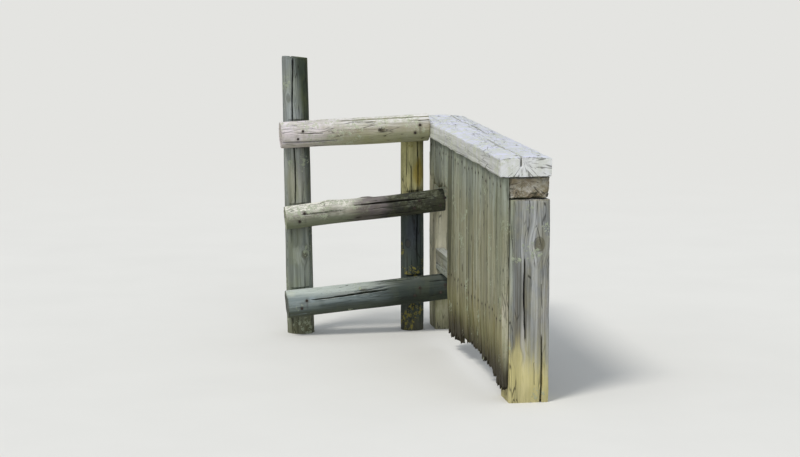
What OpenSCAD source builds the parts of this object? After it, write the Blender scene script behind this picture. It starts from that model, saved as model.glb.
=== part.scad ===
// Rail stile with a boarded wing wall. Millimetres, +Z up.
// The origin is the centre of the end post's foot. The wall runs along +Y to
// the corner post, and the three climbing rails run from there along -X.

/* [Square posts] */
// Side of the square end post and corner post
post_w = 170; // [130:5:220]
// Height of the square posts, up to the top plate
post_h = 840; // [780:5:1000]
// Chamfer worn on the upright corners of the square posts
post_chamfer = 12; // [4:1:25]
// Distance between the centres of the two square posts
wall_l = 1720; // [1600:10:2200]

/* [Wall frame] */
// Depth of the top plate that lies on the square posts
plate_h = 90; // [60:5:120]
// Height of the nailing rail behind the boards
wall_rail_h = 100; // [60:5:130]
// Thickness of the nailing rail
wall_rail_t = 45; // [30:1:60]
// Gap between the bottom climbing rail and the nailing rail
wall_rail_gap = 15; // [5:1:40]

/* [Boards] */
// Gap between neighbouring boards
board_gap = 5; // [2:1:12]
// Thickness of a board
board_t = 30; // [20:1:40]
// Lowest foot of a full board above the ground
board_foot = 30; // [10:1:80]
// How much higher the rotted feet are at the middle of the wall
rot_rise = 70; // [0:1:100]
// Depth of the ragged edge on the rotted feet
rot_depth = 45; // [10:1:60]
// Least gap between the short boards and the middle rail below them
short_board_gap = 15; // [5:1:40]

/* [Cap] */
// Thickness of the cap along its middle
cap_t = 86; // [60:1:110]
// Fall of the cap's top from its middle to its edges
cap_fall = 9; // [2:1:20]
// Chamfer worn on the cap's upper edges
cap_chamfer = 10; // [4:1:18]
// Overhang of the cap past the boards
cap_over_boards = 15; // [5:1:30]
// Overhang of the cap past the posts on the other side
cap_over_posts = 5; // [2:1:30]
// Overhang of the cap past the end post's front
cap_over_front = 20; // [5:1:40]
// Overhang of the cap past the corner post's back
cap_over_back = 25; // [5:1:40]

/* [Round posts] */
// Diameter of the rail post
rail_post_d = 110; // [90:1:140]
// Height of the rail post above the top rail's centre
rail_post_rise = 22; // [10:1:30]
// Gap between the rail post and the cap's edge
rail_post_gap = 5; // [3:1:20]
// Diameter of the hand post at its foot
hand_post_foot_d = 130; // [110:1:150]
// Diameter of the hand post at its top
hand_post_top_d = 122; // [90:1:130]
// Height of the hand post
hand_post_h = 1310; // [1150:10:1500]
// Lean of the hand post away from the wall, in degrees
hand_post_lean = 1; // [0:0.1:2]
// Slope of the saw cut on the hand post's top, in degrees
hand_post_cut = 5; // [0:1:12]
// Distance between the centres of the rail post and the hand post
bay_w = 535; // [450:5:800]
// Depth of the housings cut in the round posts for the rails
housing_depth = 18; // [10:1:30]
// Clearance above and below a rail in its housing
housing_gap = 3; // [1:1:6]

/* [Rails] */
// Diameter of the top rail at the hand post
top_rail_left_d = 124; // [90:1:140]
// Diameter of the top rail at the cap
top_rail_right_d = 130; // [90:1:140]
// Height of the top rail's centre above the middle of the cap's thickness
top_rail_rise = 5; // [-10:1:20]
// Fall of the top rail from the cap to its left end
top_rail_fall = 28; // [0:1:60]
// Reach of the top rail past the hand post's centre
top_rail_reach = 105; // [90:1:160]
// Diameter of the middle rail at the hand post
middle_rail_left_d = 112; // [90:1:130]
// Diameter of the middle rail at the corner post
middle_rail_right_d = 108; // [90:1:130]
// Height of the middle rail's centre at its left end
middle_rail_left_z = 560; // [500:1:600]
// Height of the middle rail's centre at its right end
middle_rail_right_z = 630; // [560:1:650]
// Reach of the middle rail past the hand post's centre
middle_rail_reach = 85; // [80:1:160]
// Lap of the middle rail on the corner post
middle_rail_lap = 35; // [25:1:60]
// Diameter of the bottom rail at the hand post
bottom_rail_left_d = 132; // [90:1:140]
// Diameter of the bottom rail at the corner post
bottom_rail_right_d = 126; // [90:1:140]
// Height of the bottom rail's centre at its left end
bottom_rail_left_z = 150; // [110:1:200]
// Height of the bottom rail's centre at its right end
bottom_rail_right_z = 218; // [150:1:240]
// Reach of the bottom rail past the hand post's centre
bottom_rail_reach = 80; // [78:1:160]
// Lap of the bottom rail on the corner post
bottom_rail_lap = 45; // [25:1:60]
// Depth of the flats hewn on the rails where they meet the posts
rail_flat = 10; // [5:1:20]
// Length of a flat past each side of its post
rail_flat_past = 15; // [5:1:30]
// Chamfer on the sawn ends of the rails
end_chamfer = 6; // [2:1:10]

/* [Splits and rot] */
// Width of the long splits that drying opened
split_w = 6; // [3:1:12]
// Depth of the long splits
split_depth = 22; // [10:1:35]
// Sway of a long split to each side of its line
split_sway = 4; // [0:1:10]
// Length in which a long split sways to and fro
split_wave = 600; // [300:50:1200]
// Width of the split in a board's foot
foot_split_w = 7; // [3:1:12]
// Share of a board's length that the split in its foot usually opens
foot_split_share = 0.15; // [0.05:0.01:0.4]
// Share of a board's length that rot has thinned
thin_share = 0.24; // [0.1:0.01:0.5]
// Thickness that rot took off the front of a board's foot
thin_depth = 7; // [0:1:12]

/* [Hidden] */
$fn = 96;
// Larger than the whole part, for cuts that go right through
through = 4000;
// Length that is sawn off where a round piece is trimmed to fit
saw_waste = 60;
full_boards = 8;
short_boards = 3;
rag_points = 7;
rag_seed = 40;
split_steps = 10;

// A long split is [direction from the timber's axis in degrees, offset to the side, start, stop]. Start and stop
// are shares of the timber's length, and below 0 or above 1 the split runs out over the end. A timber is laid
// from its standing position, where 0 is +X, 90 is +Y, and -90 becomes the top of what lies along the wall.
end_post_splits = [[-90, -18, 0.28, 0.75], [-90, 50, -0.1, 0.36], [180, -20, 0.25, 1.1], [0, 0, 0.1, 0.8],
    [90, 10, 0.05, 1.1]];
corner_post_splits = [[90, 10, 0.1, 1.1], [-90, 0, -0.1, 0.7], [0, -10, 0.05, 1.1], [180, 20, 0.1, 1.1]];
top_plate_splits = [[0, 10, 0.15, 0.6], [0, -18, 0.45, 1.1]];
wall_cap_splits = [[-90, -20, -0.05, 0.4], [-90, 35, 0.46, 1.1]];
rail_post_splits = [[-70, 0, 0.3, 1.1], [120, 0, 0.1, 0.9]];
hand_post_splits = [[-110, 0, 0.42, 1.1], [-40, 0, -0.1, 0.45], [100, 0, 0.3, 1.1]];
top_rail_splits = [[-150, 0, 0.36, 1.1], [-60, 0, -0.1, 0.4]];
middle_rail_splits = [[-120, 0, 0.4, 0.92]];
bottom_rail_splits = [[-110, 0, 0.12, 0.65], [-170, 0, 0.5, 1.1]];

half_post = post_w / 2;
plate_top = post_h + plate_h;
// The rails are fixed to one upright plane, the corner post's front face
seat_y = wall_l - half_post;
boards_x = -half_post - board_t;
boards_y = -half_post;
board_pitch = (seat_y - boards_y) / (full_boards + short_boards);
cap_x0 = boards_x - cap_over_boards;
cap_x1 = half_post + cap_over_posts;
cap_y0 = -half_post - cap_over_front;
cap_y1 = wall_l + half_post + cap_over_back;

rail_post_r = rail_post_d / 2;
rail_post_x = cap_x0 - rail_post_gap - rail_post_r;
rail_post_y = seat_y + rail_post_r - housing_depth;
hand_post_x = rail_post_x - bay_w;
hand_post_y = seat_y + hand_post_top_d / 2 - housing_depth;

top_rail_right_z = plate_top + cap_t / 2 + top_rail_rise;

// A rail is [left x, right x, left z, right z, left diameter, right diameter]
top_rail_spec = [hand_post_x - top_rail_reach, cap_x0, top_rail_right_z - top_rail_fall,
    top_rail_right_z, top_rail_left_d, top_rail_right_d];
middle_rail_spec = [hand_post_x - middle_rail_reach, -half_post + middle_rail_lap,
    middle_rail_left_z, middle_rail_right_z, middle_rail_left_d, middle_rail_right_d];
bottom_rail_spec = [hand_post_x - bottom_rail_reach, -half_post + bottom_rail_lap,
    bottom_rail_left_z, bottom_rail_right_z, bottom_rail_left_d, bottom_rail_right_d];
rail_specs = [top_rail_spec, middle_rail_spec, bottom_rail_spec];

function rail_slope(r) = atan2(r[3] - r[2], r[1] - r[0]);
function rail_length(r) = norm([r[1] - r[0], r[3] - r[2]]);
function rail_share(r, x) = (x - r[0]) / (r[1] - r[0]);
function rail_z(r, x) = r[2] + (r[3] - r[2]) * rail_share(r, x);
function rail_radius(r, x) = (r[4] + (r[5] - r[4]) * rail_share(r, x)) / 2;
// A rail's axis stands off the seat plane so that its thin end has a full flat
function rail_y(r) = seat_y - (min(r[4], r[5]) / 2 - rail_flat);
// The same rail made longer at its right end
function longer(r, l) = let(x = r[1] + l)
    [r[0], x, r[2], rail_z(r, x), r[4], 2 * rail_radius(r, x)];

rail_post_h = rail_z(top_rail_spec, rail_post_x) + rail_post_rise;

wall_rail_z = bottom_rail_right_z + bottom_rail_right_d / 2 + wall_rail_gap;
short_board_z = middle_rail_right_z + middle_rail_right_d / 2 + short_board_gap;

// Height of board i's rotted foot: highest at the middle of the wall
function foot_z(i) = board_foot + rot_rise * pow(sin(180 * (i + 0.5) / full_boards), 2);

// Outline of a square timber with chamfered corners
module chamfered_square(w, c) {
    h = w / 2;
    polygon([[-h + c, -h], [h - c, -h], [h, -h + c], [h, h - c],
        [h - c, h], [-h + c, h], [-h, h - c], [-h, -h + c]]);
}

// Cuts for the long splits in a timber of length l that stands on the origin, from faces r away from its axis
module splits(list, l, r) {
    for (s = list) {
        edge = [for (k = [0 : split_steps])
            let(t = k / split_steps, z = l * (s[2] + (s[3] - s[2]) * t))
                [split_sway * sin(360 * z / split_wave), z, split_w / 2 * sin(180 * t)]];
        rotate([0, 0, s[0]])
            translate([r - split_depth, s[1], 0])
                rotate([90, 0, 90])
                    linear_extrude(2 * split_depth)
                        polygon(concat(
                            [for (k = [0 : split_steps]) [edge[k][0] + edge[k][2], edge[k][1]]],
                            [for (k = [split_steps - 1 : -1 : 1]) [edge[k][0] - edge[k][2], edge[k][1]]]));
    }
}

module square_post(y, list) {
    translate([0, y, 0])
        difference() {
            linear_extrude(post_h)
                chamfered_square(post_w, post_chamfer);
            splits(list, post_h, half_post);
        }
}

// Tapered pole along +Z with chamfered ends, as one revolved outline
module pole(l, r0, r1) {
    c = end_chamfer;
    rotate_extrude()
        polygon([[0, 0], [r0 - c, 0], [r0, c], [r1, l - c], [r1 - c, l], [0, l]]);
}

// Round post on the ground at [x, y], sawn off at height h, with a housing for each rail
module round_post(x, y, h, d0, d1, lean, cut, list) {
    taper = (d1 - d0) / 2 / h;
    difference() {
        translate([x, y, 0])
            rotate([0, -lean, 0])
                translate([0, 0, -saw_waste])
                    cylinder(h = h + 2 * saw_waste, r1 = d0 / 2 - taper * saw_waste,
                        r2 = d1 / 2 + taper * saw_waste);
        translate([-through, -through, -through])
            cube([2 * through, 2 * through, through]);
        translate([x - h * tan(lean), y, h])
            rotate([0, cut, 0])
                translate([-through / 2, -through / 2, 0])
                    cube(through);
        for (r = rail_specs)
            housing(r, x - rail_z(r, x) * tan(lean), max(d0, d1));
        translate([x, y, 0])
            rotate([0, -lean, 0])
                splits(list, h, min(d0, d1) / 2);
    }
}

// Board i of the wall, with a ragged lower edge that starts at height z. A split opens the foot at one of the
// edge's middle corners, and rot has thinned the front.
module board(i, z) {
    w = board_pitch - board_gap;
    nicks = rands(0, rot_depth, rag_points, rag_seed + i);
    split_at = floor(rands(2, rag_points - 2, 1, 2 * rag_seed + i)[0]);
    l = plate_top - z - rot_depth;
    split_top = z + rot_depth + l * foot_split_share * rands(0.4, 1.6, 1, 3 * rag_seed + i)[0];
    foot = [for (k = [0 : rag_points - 1])
        let(y = w * k / (rag_points - 1), low = z + nicks[k])
            each k == split_at
                ? [[y - foot_split_w / 2, low], [y, split_top], [y + foot_split_w / 2, low]]
                : [[y, low]]];
    translate([boards_x, boards_y + i * board_pitch, 0])
        difference() {
            rotate([90, 0, 90])
                linear_extrude(board_t)
                    polygon(concat([[0, plate_top]], foot, [[w, plate_top]]));
            translate([0, w + 1, 0])
                rotate([90, 0, 0])
                    linear_extrude(w + 2)
                        polygon([[-1, 0], [thin_depth, 0], [thin_depth, z], [0, z + l * thin_share],
                            [-1, z + l * thin_share]]);
        }
}

module full_board(i) {
    color("#8d8f76")
        board(i, foot_z(i));
}

module short_board(i) {
    color("#7b8074")
        board(full_boards + i, short_board_z);
}

// Rail r with its list of splits, and a flat on each post: the hand post's, then one for the other two posts.
// The waste is a length past its right end that is sawn off later.
module rail(r, list, waste = 0) {
    past = rail_flat_past;
    stock = longer(r, waste);
    hand_x = hand_post_x - rail_z(r, hand_post_x) * tan(hand_post_lean);
    difference() {
        translate([r[0], rail_y(r), r[2]])
            rotate([0, 90 - rail_slope(r), 0])
                difference() {
                    pole(rail_length(stock), stock[4] / 2, stock[5] / 2);
                    splits(list, rail_length(r), min(r[4], r[5]) / 2);
                }
        translate([hand_x - hand_post_foot_d / 2 - past, seat_y, 0])
            cube([hand_post_foot_d + 2 * past, through, through]);
        translate([rail_post_x - rail_post_r - past, seat_y, 0])
            cube([through, through, through]);
    }
}

// The housing that rail r needs in a round post whose centre is at x there
module housing(r, x, post_d) {
    h = 2 * (rail_radius(r, x) + housing_gap);
    translate([x, seat_y, rail_z(r, x)])
        rotate([0, -rail_slope(r), 0])
            translate([-post_d, -post_d, -h / 2])
                cube([2 * post_d, post_d, h]);
}

module end_post() {
    color("#8f9189")
        square_post(0, end_post_splits);
}

module corner_post() {
    color("#5c5a52")
        square_post(wall_l, corner_post_splits);
}

module top_plate() {
    l = wall_l + post_w;
    color("#9c8f7c")
        translate([0, -half_post, post_h + plate_h / 2])
            rotate([-90, 0, 0])
                difference() {
                    translate([-half_post, -plate_h / 2, 0])
                        cube([post_w, plate_h, l]);
                    splits(top_plate_splits, l, half_post);
                }
}

module wall_rail() {
    color("#9a9c8c")
        translate([-half_post, half_post, wall_rail_z])
            cube([wall_rail_t, seat_y - half_post, wall_rail_h]);
}

module wall_cap() {
    mid = (cap_x0 + cap_x1) / 2;
    edge = cap_t - cap_fall;
    c = cap_chamfer;
    l = cap_y1 - cap_y0;
    color("#d7dacb")
        difference() {
            translate([0, cap_y1, plate_top])
                rotate([90, 0, 0])
                    linear_extrude(l)
                        polygon([[cap_x0, 0], [cap_x1, 0], [cap_x1, edge - c], [cap_x1 - c, edge],
                            [mid, cap_t], [cap_x0 + c, edge], [cap_x0, edge - c]]);
            translate([mid, cap_y0, plate_top + cap_t / 2])
                rotate([-90, 0, 0])
                    splits(wall_cap_splits, l, cap_t / 2 - cap_fall / 2);
        }
}

module rail_post() {
    color("#2f3635")
        round_post(rail_post_x, rail_post_y, rail_post_h, rail_post_d, rail_post_d, 0, 0, rail_post_splits);
}

module hand_post() {
    color("#55585a")
        round_post(hand_post_x, hand_post_y, hand_post_h, hand_post_foot_d, hand_post_top_d,
            hand_post_lean, hand_post_cut, hand_post_splits);
}

// The top rail is sawn upright where it meets the cap's edge
module top_rail() {
    color("#bdb9a4")
        difference() {
            rail(top_rail_spec, top_rail_splits, saw_waste);
            translate([cap_x0, 0, 0])
                cube(through);
        }
}

module middle_rail() {
    color("#aaa597")
        rail(middle_rail_spec, middle_rail_splits);
}

module bottom_rail() {
    color("#8a9499")
        rail(bottom_rail_spec, bottom_rail_splits);
}

end_post();
corner_post();
top_plate();
wall_rail();
wall_cap();
full_board(0);  // board_1
full_board(1);  // board_2
full_board(2);  // board_3
full_board(3);  // board_4
full_board(4);  // board_5
full_board(5);  // board_6
full_board(6);  // board_7
full_board(7);  // board_8
short_board(0);  // short_board_1
short_board(1);  // short_board_2
short_board(2);  // short_board_3
rail_post();
hand_post();
top_rail();
middle_rail();
bottom_rail();
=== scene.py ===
import math
import random
import bmesh
import bpy
from mathutils import Euler, Matrix, Vector


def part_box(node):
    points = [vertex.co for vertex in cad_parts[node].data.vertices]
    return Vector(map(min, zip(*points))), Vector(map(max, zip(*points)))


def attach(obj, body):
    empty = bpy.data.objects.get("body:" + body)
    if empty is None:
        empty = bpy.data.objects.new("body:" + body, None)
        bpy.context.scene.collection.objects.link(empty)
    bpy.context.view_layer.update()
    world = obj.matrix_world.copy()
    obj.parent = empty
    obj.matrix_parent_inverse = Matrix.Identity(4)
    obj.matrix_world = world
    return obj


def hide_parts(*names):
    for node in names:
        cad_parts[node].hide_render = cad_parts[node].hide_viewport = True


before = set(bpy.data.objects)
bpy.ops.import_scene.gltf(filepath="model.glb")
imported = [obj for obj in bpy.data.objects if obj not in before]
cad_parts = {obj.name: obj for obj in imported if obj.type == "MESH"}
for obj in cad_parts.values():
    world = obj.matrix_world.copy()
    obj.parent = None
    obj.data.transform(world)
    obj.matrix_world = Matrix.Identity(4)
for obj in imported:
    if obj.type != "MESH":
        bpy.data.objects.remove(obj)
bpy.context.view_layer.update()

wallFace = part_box("corner_post")[0].y  # the upright plane that the rails are fixed to
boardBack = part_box("end_post")[0].x  # the plane of the posts that the boards are nailed to
print("frame loaded:", len(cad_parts), "nodes")


# Node maths. A Value is a socket, and an expression on Values adds the nodes for it.

class Value:
    def __init__(self, graph, socket):
        self.graph = graph
        self.socket = socket

    def __add__(self, other):
        return self.graph.calc("ADD", self, other)

    def __radd__(self, other):
        return self.graph.calc("ADD", other, self)

    def __sub__(self, other):
        return self.graph.calc("SUBTRACT", self, other)

    def __rsub__(self, other):
        return self.graph.calc("SUBTRACT", other, self)

    def __mul__(self, other):
        return self.graph.calc("MULTIPLY", self, other)

    def __rmul__(self, other):
        return self.graph.calc("MULTIPLY", other, self)

    def __truediv__(self, other):
        return self.graph.calc("DIVIDE", self, other)

    def __abs__(self):
        return self.graph.calc("ABSOLUTE", self)


class Graph:
    def __init__(self, tree):
        self.tree = tree

    # Any node: its settings go in first, then what its sockets get, and one output comes back
    def add(self, kind, settings, sockets, output=0):
        node = self.tree.nodes.new(kind)
        for name, setting in settings.items():
            if name == "stops":
                self.fillRamp(node.color_ramp, setting)
            else:
                setattr(node, name, setting)
        pairs = sockets.items() if isinstance(sockets, dict) else enumerate(sockets)
        for name, given in pairs:
            if isinstance(given, Value):
                self.tree.links.new(given.socket, node.inputs[name])
            else:
                node.inputs[name].default_value = given
        return node if output is None or not node.outputs else Value(self, node.outputs[output])

    # A node group, and all its outputs come back
    def use(self, group, *given):
        node = self.add("GeometryNodeGroup", {"node_tree": group}, given, None)
        return [Value(self, socket) for socket in node.outputs]

    def fillRamp(self, ramp, stops):
        while len(ramp.elements) < len(stops):
            ramp.elements.new(1.0)
        for element, (position, colour) in zip(ramp.elements, stops):
            element.position = position
            element.color = colour

    def calc(self, operation, *given):
        return self.add("ShaderNodeMath", {"operation": operation}, given)

    def larger(self, a, b):
        return self.calc("MAXIMUM", a, b)

    # 0 at low, 1 at high, smooth between; low may be the higher number
    def ease(self, value, low, high):
        sockets = {"Value": value, "From Min": low, "From Max": high}
        return self.add("ShaderNodeMapRange", {"interpolation_type": "SMOOTHSTEP"}, sockets)

    def vector(self, operation, *given, output=0):
        return self.add("ShaderNodeVectorMath", {"operation": operation}, given, output)

    def scaled(self, vector, amount):
        return self.add("ShaderNodeVectorMath", {"operation": "SCALE"}, {0: vector, "Scale": amount})

    def join(self, x, y, z):
        return self.add("ShaderNodeCombineXYZ", {}, [x, y, z])

    def split(self, vector):
        return [self.add("ShaderNodeSeparateXYZ", {}, [vector], i) for i in range(3)]

    # A texture's scale is one number, or two, across the grain and along it, or three
    def texture(self, kind, settings, place, scale, shape):
        scale = scale if isinstance(scale, tuple) else (scale,) * 3
        scale = scale if len(scale) == 3 else (scale[0], *scale)
        sockets = {"Vector": self.vector("MULTIPLY", place, scale), "Scale": 1.0, **shape}
        return self.add(kind, settings, sockets)

    def noise(self, place, scale, detail=2.0, rough=0.5, swirl=0.0):
        shape = {"Detail": detail, "Roughness": rough, "Distortion": swirl}
        return self.texture("ShaderNodeTexNoise", {}, place, scale, shape)

    # How far it is to the nearest cell's point, or to the joint between two cells, in cells
    def cells(self, place, scale, feature="F1"):
        return self.texture("ShaderNodeTexVoronoi", {"feature": feature}, place, scale, {})

    # Colours are sockets or web colours
    def blend(self, share, *colours):
        first, second = [tint(colour) if isinstance(colour, str) else colour for colour in colours]
        return self.add("ShaderNodeMix", {"data_type": "RGBA"}, {0: share, 6: first, 7: second}, 2)

    def attribute(self, name, output="Fac"):
        return self.add("ShaderNodeAttribute", {"attribute_name": name}, {}, output)

    def texturePlace(self):
        return self.add("ShaderNodeTexCoord", {}, {}, "Object")

    # The end of a material; its bump is given by strength, depth in metres and height
    def closeSurface(self, bump, sockets):
        normal = self.add("ShaderNodeBump", {}, dict(zip(("Strength", "Distance", "Height"), bump)))
        surface = self.add("ShaderNodeBsdfPrincipled", {}, {**sockets, "Normal": normal})
        self.add("ShaderNodeOutputMaterial", {}, [surface])


def blankGraph(owner):
    # the emptied node graph of a material or a world
    owner.use_nodes = True
    owner.node_tree.nodes.clear()
    return Graph(owner.node_tree)


def tint(code, share=1.0):
    # a web colour as the renderer's own numbers, darker for a share below 1
    parts = [int(code[i:i + 2], 16) / 255 for i in (1, 3, 5)]
    linear = [p / 12.92 if p <= 0.04045 else ((p + 0.055) / 1.055) ** 2.4 for p in parts]
    return (*[p * share for p in linear], 1.0)


# Modelling. Every timber is shaped standing on the origin, its grain along Z, and then laid in place.

def deselectAll():
    bpy.ops.object.select_all(action="DESELECT")


def pickOut(piece):
    deselectAll()
    piece.select_set(True)
    bpy.context.view_layer.objects.active = piece


def setMode(mode):
    bpy.ops.object.mode_set(mode=mode)


def choose(kind, test):
    # selects the vertices, edges or faces of the mesh in edit mode that pass the test
    bpy.ops.mesh.select_mode(type=kind)
    bpy.ops.mesh.select_all(action="DESELECT")
    mesh = bpy.context.object.data
    shape = bmesh.from_edit_mesh(mesh)
    for part in {"VERT": shape.verts, "EDGE": shape.edges, "FACE": shape.faces}[kind]:
        if test(part):
            part.select_set(True)
    bmesh.update_edit_mesh(mesh)


def runsAlong(edge, axis):
    # upright edges only for Z; for X and Y the edge may also rise or fall
    line = edge.verts[1].co - edge.verts[0].co
    others = [i for i in (0, 1) if i != axis]
    return all(abs(line[i]) < 0.00001 for i in others) and (axis == 2 or abs(line[axis]) > 0.00001)


def cutAcross(axis, pieces):
    # divides every edge that runs along an axis
    if pieces > 1:
        choose("EDGE", lambda edge: runsAlong(edge, axis))
        bpy.ops.mesh.subdivide(number_cuts=pieces - 1)


def sawnBlank(name, size):
    # a plain timber, left in edit mode
    deselectAll()
    bpy.ops.mesh.primitive_cube_add(size=1, location=(0, 0, size.z / 2), scale=size)
    piece = bpy.context.object
    piece.name = name
    bpy.ops.object.transform_apply()
    setMode("EDIT")
    return piece


def meshBlank(size, cell, already=(1, 1, 1)):
    # divides a blank in edit mode into cells of about the given width, depth and length, and ends the editing
    for axis in (2, 0, 1):
        cutAcross(axis, round(size[axis] / already[axis] / cell[axis]))
    setMode("OBJECT")


def roundBlank(name, girths, length, cell, tilts=(0, 0), capRings=9):
    # a tapered pole, its foot and head tilted by degrees about Y, with rings of faces on both ends
    sides = round(math.pi * girths[0] / cell[0])
    deselectAll()
    bpy.ops.mesh.primitive_cone_add(vertices=sides, radius1=girths[0] / 2, radius2=girths[1] / 2,
                                    depth=length, location=(0, 0, length / 2))
    piece = bpy.context.object
    piece.name = name
    bpy.ops.object.transform_apply()
    setMode("EDIT")
    for height, tilt, girth in ((0, tilts[0], girths[0]), (length, tilts[1], girths[1])):
        choose("FACE", lambda face: abs(face.normal.z) > 0.9
               and abs(face.calc_center_median().z - height) < 0.001)
        if tilt:
            bpy.ops.transform.rotate(value=-math.radians(tilt), orient_axis="Y",
                                     center_override=(0, 0, height))
        for ring in range(capRings):
            bpy.ops.mesh.inset(thickness=girth / 2 / (capRings + 0.6))
        bpy.ops.mesh.poke()
    choose("EDGE", lambda edge: abs(edge.verts[0].co.z - edge.verts[1].co.z) > length / 2)
    bpy.ops.mesh.subdivide(number_cuts=round(length / cell[1]) - 1)
    setMode("OBJECT")
    return piece


def layMatrix(turn, spot):
    # where a timber's foot goes, and its turn about X, Y and Z in degrees
    return Matrix.Translation(spot) @ Euler([math.radians(angle) for angle in turn]).to_matrix().to_4x4()


def layInPlace(piece, lay):
    pickOut(piece)
    piece.matrix_world = lay
    bpy.ops.object.transform_apply()


def flatten(axis, level, test):
    # hews a flat on the piece that is picked out: the vertices that pass the test go to one level
    setMode("EDIT")
    choose("VERT", test)
    centre = [0, 0, 0]
    centre[axis] = level
    scale = [1, 1, 1]
    scale[axis] = 0
    bpy.ops.transform.resize(value=scale, center_override=centre)
    setMode("OBJECT")


footWear = 0.004  # how far wear lifts a foot off the ground at most


def levelFoot(ground):
    # stands a worn foot flat on the ground
    flatten(2, ground, lambda vert: vert.co.z < ground + footWear)


# Weathering of the shape, by one Geometry Nodes modifier for each timber that is applied at once

def makeGroup(name, wants, gives, work):
    # work gets the inputs as Values and returns the outputs; a name that starts with a capital is a vector
    tree = bpy.data.node_groups.new(name, "GeometryNodeTree")
    for way, labels in (("INPUT", wants), ("OUTPUT", gives)):
        for label in labels.split():
            kind = "NodeSocketVector" if label[0].isupper() else "NodeSocketFloat"
            tree.interface.new_socket(label, in_out=way, socket_type=kind)
    g = Graph(tree)
    entry = g.add("NodeGroupInput", {}, {}, None)
    given = [Value(g, socket) for socket in entry.outputs[:len(wants.split())]]
    g.add("NodeGroupOutput", {}, work(g, *given))
    return tree


def acrossFrom(g, parts, cos, sin, aside):
    # for a plane along the grain through the pith: distance beside it, and distance out along it
    x, y, z = parts
    return y * cos - x * sin - aside, x * cos + y * sin


def knotWork(g, spot, bent, knot, proud, cos, sin, aside, height, girth, swell, through):
    # a knot is a branch that left the pith sideways, proud of the surface, with the grain bending round it
    parts = g.split(spot)
    beside, outwards = acrossFrom(g, parts, cos, sin, aside)
    rise = (parts[2] - height) * 0.8  # a knot is a little taller than it is wide
    far = g.calc("SQRT", beside * beside + rise * rise) / (girth * 0.5)  # in its own radii
    here = g.larger(g.ease(outwards, -0.002, 0.004), through)
    pull = g.ease(far, 3.2, 0.6) * here * -0.55  # the grain bends out to three of them
    bent = g.vector("ADD", bent, g.join(beside * pull * sin * -1.0, beside * pull * cos, rise * pull * 0.5))
    return bent, g.larger(g.ease(far, 1.0, 0.0) * here, knot), g.ease(far, 2.1, 0.5) * here * swell + proud


def splitWork(g, spot, state, cut, wander, ragged, cos, sin, aside, low, high, width, depth, through):
    # a split or check runs along the grain, gapes and fades out at both ends
    parts = g.split(spot)
    beside, outwards = acrossFrom(g, parts, cos, sin, aside)
    beside = beside + wander
    fade = g.calc("MINIMUM", (high - low) * 0.45, 0.2)
    spread = g.ease(parts[2], low - 0.01, low + fade) * g.ease(parts[2], high + 0.01, high - fade)
    here = g.larger(g.ease(outwards, -0.002, 0.004), through) * g.ease(spread, 0.02, 0.25)
    half = spread * ragged * width * 0.5
    cut = g.larger(g.ease(abs(beside) / (half + 0.002), 1.0, 0.1) * here * depth, cut)
    # the state keeps the distance to the nearest split, how far that one gapes and how near it is
    signed, gape, near = g.split(state)
    nearer = g.calc("GREATER_THAN", abs(signed) - gape, abs(beside) - half + (1.0 - here))
    signed = signed + (beside - signed) * nearer
    gape = gape + (half - gape) * nearer
    near = g.larger(g.ease(abs(beside) - half, 0.005, 0.0025) * here, near)
    return g.join(signed, gape, near), cut


def stainWork(g, spot, nail, down, rust, across):
    # how rusty the wood is round a nail and in the streak below it
    rel = g.vector("SUBTRACT", spot, nail)
    along = g.vector("DOT_PRODUCT", rel, down, output="Value")
    beside = g.vector("LENGTH", g.vector("SUBTRACT", rel, g.scaled(down, along)), output="Value")
    fades = g.ease(along, 0.11, 0.0)
    streak = g.ease(beside + across * 0.006, 0.008, 0.002) * fades * g.ease(along, -0.01, 0.0)
    halo = g.ease(g.vector("LENGTH", rel, output="Value") + across * 0.012, 0.014, 0.005)
    return [g.larger(g.larger(streak * 0.7, halo), rust)]


knotGroup = makeGroup("knot", "Spot Bent knot proud cos sin aside height girth swell through",
                      "Bent knot proud", knotWork)
splitGroup = makeGroup("split", "Spot State cut wander ragged cos sin aside low high width depth through",
                       "State cut", splitWork)
stainGroup = makeGroup("nailStain", "Spot Nail Down rust across", "rust", stainWork)


# The long splits sway as those of the solids do
splitSway = {"width": 0.0042, "depth": 0.024, "sway": 0.004, "wave": 0.6}

checkRoom = {"beside": 0.016, "along": 0.02}  # checks nearer to each other than this would run together
narrowEdge = 0.06  # a sawn timber's side that is narrower than this takes no checks

# What a timber's wear starts from, in metres; each piece below gives what differs
plainWear = {
    "round": False, "standing": False, "bow": 0.0, "crown": 0.0, "tone": 0.5,
    "relief": 0.003, "hollow": 0.004, "dent": 0.0015, "endRough": 0.004, "endRings": 0.002,
    "arris": 0.009, "endArris": 0.5,  # the corners' wear, and that of the ends' as a share of it
    "pith": (0.004, 0.003),
    "checks": (14, 0.12, 0.4, 0.0022, 0.004),  # how many are drawn, shortest, longest, widest and deepest
    "opens": [],  # checks given one by one: direction, offset, start, stop, width, depth, 1 where it goes through
    "splits": [],  # direction, offset, start and stop, the last two as shares of the length
    "knots": [], "through": 0.0,  # direction, offset, height, girth, swell; 1 where they show on both faces
    "rot": [],  # start, stop and depth
    "bites": [],  # x, y, z, reach and depth
    "fray": [],  # height, reach and amount
    "thin": (),  # start, stop and depth
}


def direction(angle):
    return math.cos(math.radians(angle)), math.sin(math.radians(angle))


def growKnots(g, spot, wear):
    bent, knot, proud = spot, 0.0, 0.0
    for angle, *rest in wear["knots"]:
        place = (*direction(angle), *rest)
        bent, knot, proud = g.use(knotGroup, spot, bent, knot, proud, *place, wear["through"])
    return knot, proud, bent


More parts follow.
